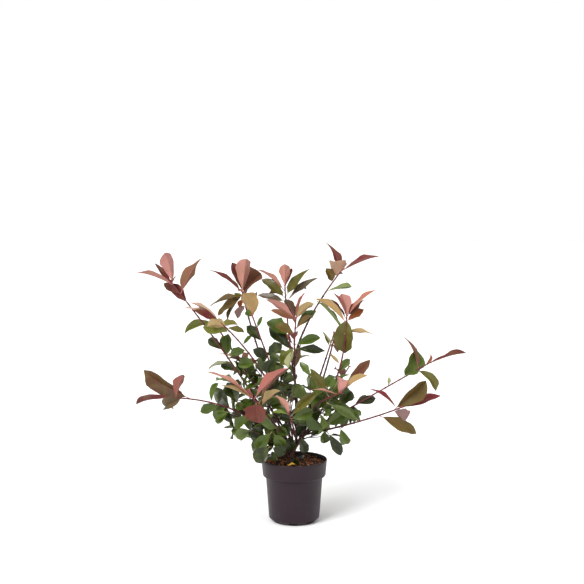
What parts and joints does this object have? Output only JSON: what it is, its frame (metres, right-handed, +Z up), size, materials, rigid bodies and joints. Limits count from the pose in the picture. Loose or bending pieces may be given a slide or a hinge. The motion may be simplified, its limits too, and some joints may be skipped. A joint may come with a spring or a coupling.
{
  "type": "potted photinia shrub",
  "caption": "Young evergreen photinia shrub in a round nursery pot: bronze-red leaves at the tips of long thin boughs, broad glossy green leaves round its foot.",
  "frame": {"origin": "middle of the pot's flat underside", "axes": "+Z up along the pot's axis, +X to the right of the plant's widest side, -Y the front"},
  "size_m": [0.8473, 0.4983, 0.7179],
  "materials": {
    "pot_plastic": "moulded, satin, lightly soiled",
    "potting_bark": "loose bark chips and peat",
    "stem_bark": "young fissured bark",
    "red_stem": "smooth green wood under a red skin",
    "young_leaf": "leathery young leaf, bronze above and salmon below",
    "green_leaf": "leathery mature leaf, glossy above"
  },
  "bodies": {
    "root": {"bough_centre": "red_stem", "bough_centre_tall": "red_stem", "bough_front_left": "red_stem", "bough_front_low": "red_stem", "bough_front_right": "red_stem", "bough_left_high": "red_stem", "bough_left_inner": "red_stem", "bough_left_low": "red_stem", "bough_left_mid": "red_stem", "bough_left_thin": "red_stem", "bough_rear_centre": "red_stem", "bough_rear_left": "red_stem", "bough_rear_left_high": "red_stem", "bough_rear_low": "red_stem", "bough_rear_right": "red_stem", "bough_rear_right_high": "red_stem", "bough_right_high": "red_stem", "bough_right_long": "red_stem", "bough_right_low": "red_stem", "bough_right_mid": "red_stem", "bough_right_thin": "red_stem", "foliage_centre": "young_leaf", "foliage_centre_tall": "young_leaf", "foliage_front_left": "young_leaf", "foliage_front_low": "young_leaf", "foliage_front_right": "young_leaf", "foliage_inner_front_left_low": "green_leaf", "foliage_inner_front_low": "green_leaf", "foliage_inner_front_upper": "green_leaf", "foliage_inner_left_low": "green_leaf", "foliage_inner_left_outer": "green_leaf", "foliage_inner_left_top": "green_leaf", "foliage_inner_left_upper": "green_leaf", "foliage_inner_middle_rear": "green_leaf", "foliage_inner_middle_upper": "green_leaf", "foliage_inner_rear_left_low": "green_leaf", "foliage_inner_rear_right_low": "green_leaf", "foliage_inner_right_low": "green_leaf", "foliage_inner_right_outer": "green_leaf", "foliage_inner_right_upper": "green_leaf", "foliage_left_high": "young_leaf", "foliage_left_inner": "young_leaf", "foliage_left_low": "young_leaf", "foliage_left_mid": "young_leaf", "foliage_left_thin": "young_leaf", "foliage_rear_centre": "young_leaf", "foliage_rear_left": "young_leaf", "foliage_rear_left_high": "young_leaf", "foliage_rear_low": "young_leaf", "foliage_rear_right": "young_leaf", "foliage_rear_right_high": "young_leaf", "foliage_right_high": "young_leaf", "foliage_right_long": "young_leaf", "foliage_right_low": "young_leaf", "foliage_right_mid": "young_leaf", "foliage_right_thin": "young_leaf", "pot": "pot_plastic", "potting_soil": "potting_bark", "trunk": "stem_bark"}
  },
  "joints": []
}
